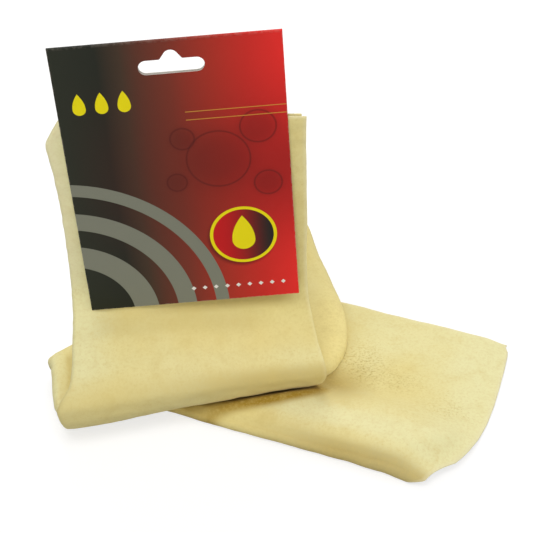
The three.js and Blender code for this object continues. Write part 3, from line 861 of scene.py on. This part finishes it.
back_middle = 2 * crease_radius
back_depth = back_leaf_front + board_thickness / 2
step_share = np.linspace(0, 1, 13)
back_profile = [(back_middle, -0.2), (back_middle, -8.0), (back_middle, -18.0)]
back_profile += list(zip(back_middle + (back_depth - back_middle) * ease(step_share),
                         -leaves_together + (step_end + leaves_together) * step_share))
back_profile += [(back_depth, -60.0), (back_depth, -100.0), (back_depth, -card_height)]
back_leaf = board_strip("card_back", back_profile, card_matrix, [board_finish], slot_depth=back_middle)
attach(back_leaf, "leather")
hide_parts("card_back_leaf")


# Front leaf: the same board, printed and varnished on its outer face. The print is a generic design: a
# dark to red ground with grey sweeps, drops, fine lines and a badge. Scuffs show the board at its edges.
leaf_matrix = card_matrix @ Matrix.Rotation(-leaf_lean, 4, "X")
print_finish, tree, shader = new_finish("printed_board", {"Specular IOR Level": 0.14})
place = add_node("ShaderNodeTexCoord", {}, tree)
card_uv = add_node("ShaderNodeSeparateXYZ", {0: place.outputs["UV"]}).outputs
card_x = calc("MULTIPLY_ADD", card_uv["X"], card_width, -card_width / 2)
card_y = times(card_uv["Y"], card_height)


def gap(first, second):
    return calc("ABSOLUTE", minus(first, second))


def from_point(x, y):
    return minus(card_x, x), minus(card_y, y)


def disc(x, y, radius):
    """Distance outside a round shape; the shapes below give theirs in the same way, in millimetres."""
    across, up = from_point(x, y)
    square = calc("MULTIPLY_ADD", across, across, times(up, up))
    return minus(calc("SQRT", square), radius)


def ring(x, y, radius, stroke):
    return minus(calc("ABSOLUTE", disc(x, y, radius)), stroke / 2)


def drop(x, y, radius, tall):
    """Round below its middle, drawn up to a point above it."""
    across, up = from_point(x, y)
    low = calc("MINIMUM", up, 0.0)
    rise = calc("DIVIDE", most(up, 0.0), tall)
    width = calc("MULTIPLY_ADD", times(rise, rise), -radius, radius)
    square = calc("MULTIPLY_ADD", across, across, times(low, low))
    return minus(calc("SQRT", square), width)


def line(height, half, start):
    off = minus(gap(card_y, height), half)
    return most(off, minus(start, card_x))


def diamonds(height, spacing, radius, start, end):
    """Row of diamonds along a line, from the start to the end."""
    off = plus(calc("PINGPONG", card_x, spacing / 2), gap(card_y, height))
    off = most(minus(off, radius), minus(start, card_x))
    return most(off, minus(card_x, end))


def inside(distance, soft=0.12):
    """Mask of a printed shape from the distance outside its outline."""
    return clamped(distance, soft, -soft)


ink_yellow = colour(240, 225, 20)
ink_gold = colour(206, 150, 60)
ink_grey = colour(128, 130, 115)
ink_white = colour(238, 234, 226)
ink_red = colour(196, 28, 30)
ink_black = colour(34, 30, 26)
ink_shadow = colour(32, 10, 8)
ink_bubble = colour(74, 20, 17)
ink_haze = colour(96, 18, 16)
worn_board = colour(204, 190, 176)
ground_stops = [(0.0, colour(40, 43, 32)), (0.20, colour(33, 35, 26)), (0.30, colour(66, 50, 37)),
                (0.50, colour(122, 52, 38)), (0.68, colour(172, 50, 37)), (0.84, colour(206, 46, 39)),
                (1.0, colour(236, 47, 43))]
haze_height = 80.0
haze_reach = 75.0
haze_strength = 0.6
bubbles = ((20, 88, 16), (41, 105, 9), (44, 72, 7), (-2, 76, 5), (3, 101, 6))
sweep_middle = (-66, -4)
sweeps = ((40, 13), (62, 10), (81, 7))
line_heights = (116.0, 111.5)
drop_places = (-45, -34, -23)
badge_x, badge_y, badge_radius = 29.0, 41.0, 17.5
badge_border = 1.7
edge_wear = 0.3
top_wear = 0.08

# The ground's colours run from left to right, with a haze and faint bubbles over them
ground = add_node("ShaderNodeValToRGB", {"Fac": card_uv["X"]})
stops = ground.color_ramp.elements
while len(stops) < len(ground_stops):
    stops.new(0.5)
for stop, (position, tint) in zip(stops, ground_stops):
    stop.position = position
    stop.color = tint
haze = minus(1.0, calc("DIVIDE", gap(card_y, haze_height), haze_reach))
haze = times(clamped(haze, 0.1, 1.0), haze_strength)
tone = painted(ground.outputs["Color"], ink_haze, times(haze, card_uv["X"]))
for x, y, radius in bubbles:
    bubble = times(inside(disc(x, y, radius), radius * 0.6), 0.3)
    outline = times(inside(ring(x, y, radius, stroke=0.8), 0.5), 0.5)
    tone = painted(tone, ink_bubble, plus(bubble, outline))

# Sweeps, lines and drops, then the round badge over its own soft shadow
badge_shadow = times(inside(disc(badge_x - 1.0, badge_y - 1.5, badge_radius), 1.6), 0.6)
badge_ground = painted(ink_red, ink_black, clamped(card_x, 16, 44))
layers = [(ink_grey, inside(ring(*sweep_middle, radius, stroke))) for radius, stroke in sweeps]
layers += [(ink_gold, inside(line(height, half=0.2, start=6.0))) for height in line_heights]
layers += [(ink_yellow, inside(drop(x, y=122, radius=3.2, tall=8.5))) for x in drop_places]
layers += [(ink_shadow, badge_shadow), (ink_yellow, inside(disc(badge_x, badge_y, badge_radius))),
           (badge_ground, inside(disc(badge_x, badge_y, badge_radius - badge_border))),
           (ink_yellow, inside(drop(badge_x, badge_y - 3, radius=6.0, tall=15.0))),
           (ink_white, inside(diamonds(height=9, spacing=6.0, radius=1.3, start=-3.0, end=49.0)))]
for ink, mask in layers:
    tone = painted(tone, ink, mask)

# The board shows through where the edges are worn
fibre = mottle(place.outputs["Object"], size=0.0022)
to_edge = minus(card_width / 2, calc("ABSOLUTE", card_x))
to_edge = calc("MINIMUM", to_edge, card_y)
to_top = minus(card_height, card_y)
worn_edge = times(clamped(to_edge, 0.7, 0.0), clamped(fibre["Tone"], 0.45, 0.6))
worn_top = times(clamped(to_top, 0.9, 0.0), clamped(fibre["Tone"], 0.4, 0.6))
worn = most(times(worn_edge, edge_wear), times(worn_top, top_wear))
tone = painted(tone, worn_board, worn)
tree.links.new(tone, shader.inputs["Base Color"])
tree.links.new(calc("MULTIPLY_ADD", worn, 0.4, 0.36), shader.inputs["Roughness"])
add_relief(shader, fibre["Tone"], strength=0.08, distance=0.0002)

front_profile = [(0.0, height) for height in (-crease_gap, -4.0, -40.0, -80.0, -120.0, -card_height)]
front_leaf = board_strip("card_front", front_profile, leaf_matrix, [print_finish, board_finish],
                         slot_depth=0.0)
card_up = card_matrix.to_3x3().normalized() @ Vector((0, 0, 1))
for polygon in front_leaf.data.polygons:
    at_crease = (polygon.center - hinge) @ card_up > -2 * crease_gap * MM
    polygon.material_index = 0 if at_crease or polygon.normal.y < -0.8 else 1
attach(front_leaf, "front_leaf")
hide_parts("card_front_leaf")


# Crease: the bent strip of the same board between the two leaves. Its print is a little worn from the
# folding.
crease_profile = [(back_middle, -0.22)]
crease_profile += arc_points(crease_radius, 0, crease_radius, 0, 180, 12)
crease_profile += [(0.0, -crease_gap + 0.03)]
crease_strip = board_strip("card_crease", crease_profile, card_matrix, [print_finish])
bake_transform(crease_strip)


# Staples: two bright wire staples through the back leaf and both plies of the leather, with the crown
# behind the card and the legs turned in over the leather at the front.
wire_size = 0.5
staple_crown = 12.0
staple_tip = 4.0
staple_front = -1.463
staple_back = 3.837
wire_finish, tree, shader = new_finish("galvanised_wire", {"Metallic": 1.0})
place = add_node("ShaderNodeTexCoord", {}, tree).outputs["Object"]
drawn = mottle(place, size=0.0009)
wire_tone = painted(colour(186, 187, 190), colour(214, 215, 218), drawn["Tone"])
tree.links.new(wire_tone, shader.inputs["Base Color"])
tree.links.new(calc("MULTIPLY_ADD", drawn["Grain"], 0.25, 0.22), shader.inputs["Roughness"])

shape = {"Geometry": "Geometry"}
staple_sockets = {**shape, "Wire": "Float", "Bend": "Float", "Spacing": "Float", "Finish": "Material"}
staple_tree, staple_in, staple_out = node_group("wire_staples", "GeometryNodeTree", staple_sockets, shape)
rounded = add_node("GeometryNodeFilletCurve",
                   {"Curve": staple_in["Geometry"], "Radius": staple_in["Bend"], "Count": 5}, mode="POLY")
wire_radius = calc("DIVIDE", staple_in["Wire"], 2.0)
section = add_node("GeometryNodeCurvePrimitiveCircle", {"Resolution": 10, "Radius": wire_radius})
swept = add_node("GeometryNodeCurveToMesh",
                 {"Curve": rounded.outputs["Curve"], "Profile Curve": section.outputs["Curve"],
                  "Fill Caps": True})
apart = add_node("ShaderNodeCombineXYZ", {"X": staple_in["Spacing"]})
places = add_node("GeometryNodeMeshLine", {"Count": 2, "Offset": apart.outputs[0]})
pair = add_node("GeometryNodeInstanceOnPoints",
                {"Points": places.outputs["Mesh"], "Instance": swept.outputs["Mesh"]})
solid = add_node("GeometryNodeRealizeInstances", {"Geometry": pair.outputs["Instances"]})
finished = add_node("GeometryNodeSetMaterial",
                    {"Geometry": solid.outputs["Geometry"], "Material": staple_in["Finish"]})
staple_tree.links.new(finished.outputs["Geometry"], staple_out["Geometry"])

half_crown = staple_crown / 2 - wire_size / 2
near_y, far_y = staple_front + wire_size / 2, staple_back - wire_size / 2
bends = [(staple_tip - half_crown, near_y), (-half_crown, near_y), (-half_crown, far_y),
         (half_crown, far_y), (half_crown, near_y), (half_crown - staple_tip, near_y)]
wire_curve = bpy.data.curves.new("wire_path", "CURVE")
wire_curve.dimensions = "3D"
spline = wire_curve.splines.new("POLY")
spline.points.add(len(bends) - 1)
for point, (x, y) in zip(spline.points, bends):
    point.co = (x - staple_spacing / 2, y, -staple_drop, 1)
wire_path = placed("wire_path", wire_curve)
bending = wire_path.modifiers.new("staples", "NODES")
bending.node_group = staple_tree
staple_values = {"Wire": wire_size, "Bend": wire_size, "Spacing": staple_spacing, "Finish": wire_finish}
for item in staple_tree.interface.items_tree:
    if item.in_out == "INPUT" and item.name in staple_values:
        bending[item.identifier] = staple_values[item.name]
staple_mesh = bpy.data.meshes.new_from_object(wire_path.evaluated_get(bpy.context.evaluated_depsgraph_get()))
bpy.data.objects.remove(wire_path)
staple_mesh.transform(card_matrix)
staple_mesh.shade_smooth()
staples = placed("staples", staple_mesh)
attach(staples, "leather")
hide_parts("staple_left", "staple_right")


# Floor, light and camera: a pale studio sweep that is white to the camera but for the object's soft
# shadow, broad lamps behind, above, in front and at the right, a faint warm surround, and the camera at
# the photograph's angle.
camera_data = bpy.data.cameras.new("camera")
camera_data.lens = 90.25
camera_data.sensor_width = 36.0
camera = placed("camera", camera_data)
camera_look = Vector((0.044, 0.7868, -0.6157))
camera.location = foot_place + Vector((7.1, -557.5, 518.5)) * MM
camera.rotation_euler = camera_look.to_track_quat("-Z", "Y").to_euler()
bpy.context.scene.camera = camera


def seen_directly(tree):
    """1 for what the camera, a reflection or glass shows, 0 for the light that falls on the object."""
    rays = add_node("ShaderNodeLightPath", {}, tree).outputs
    seen = most(rays["Is Camera Ray"], rays["Is Glossy Ray"])
    return most(seen, rays["Is Transmission Ray"])


floor_reach = 6.0
floor_glow = 0.68
floor_grey = (0.4, 0.4, 0.4, 1.0)
white = (1.0, 1.0, 1.0, 1.0)
floor_corners = [(x * floor_reach, y * floor_reach, 0) for x, y in ((-1, -1), (1, -1), (1, 1), (-1, 1))]
floor = mesh_object("floor", floor_corners, [(0, 1, 2, 3)])
floor_finish, tree, shader = new_finish("studio_floor", {
    "Base Color": floor_grey, "Roughness": 0.9, "Emission Color": white})
tree.links.new(times(seen_directly(tree), floor_glow), shader.inputs["Emission Strength"])
floor.data.materials.append(floor_finish)

surround = 0.36
surround_tint = (1.0, 0.94, 0.80, 1.0)
world = bpy.data.worlds.new("studio")
bpy.context.scene.world = world
world.use_nodes = True
tree = world.node_tree
around = tree.nodes["Background"]
seen = seen_directly(tree)
tree.links.new(calc("MULTIPLY_ADD", seen, 1 - surround, surround), around.inputs["Strength"])
tree.links.new(painted(surround_tint, white, seen), around.inputs["Color"])

# Each lamp's name, place in metres, size and power
lamps = (("back", (0.0, 1.3, 0.9), 0.8, 9.6), ("key", (-0.3, -0.4, 1.3), 0.6, 5.8),
         ("front_fill", (-0.1, -1.5, 0.6), 1.0, 6.5), ("right", (1.3, -0.2, 0.8), 0.8, 4.4))
lamp_tint = (0.99, 1.0, 1.05)
lamp_target = Vector((0, 0, 0.05))
for lamp_name, lamp_place, lamp_size, lamp_power in lamps:
    lamp_data = bpy.data.lights.new(lamp_name, "AREA")
    lamp_data.energy = lamp_power
    lamp_data.size = lamp_size
    lamp_data.color = lamp_tint
    lamp = placed(lamp_name, lamp_data)
    lamp.location = lamp_place
    lamp.rotation_euler = (lamp_target - lamp.location).to_track_quat("-Z", "Y").to_euler()
bpy.context.scene.view_settings.view_transform = "Standard"
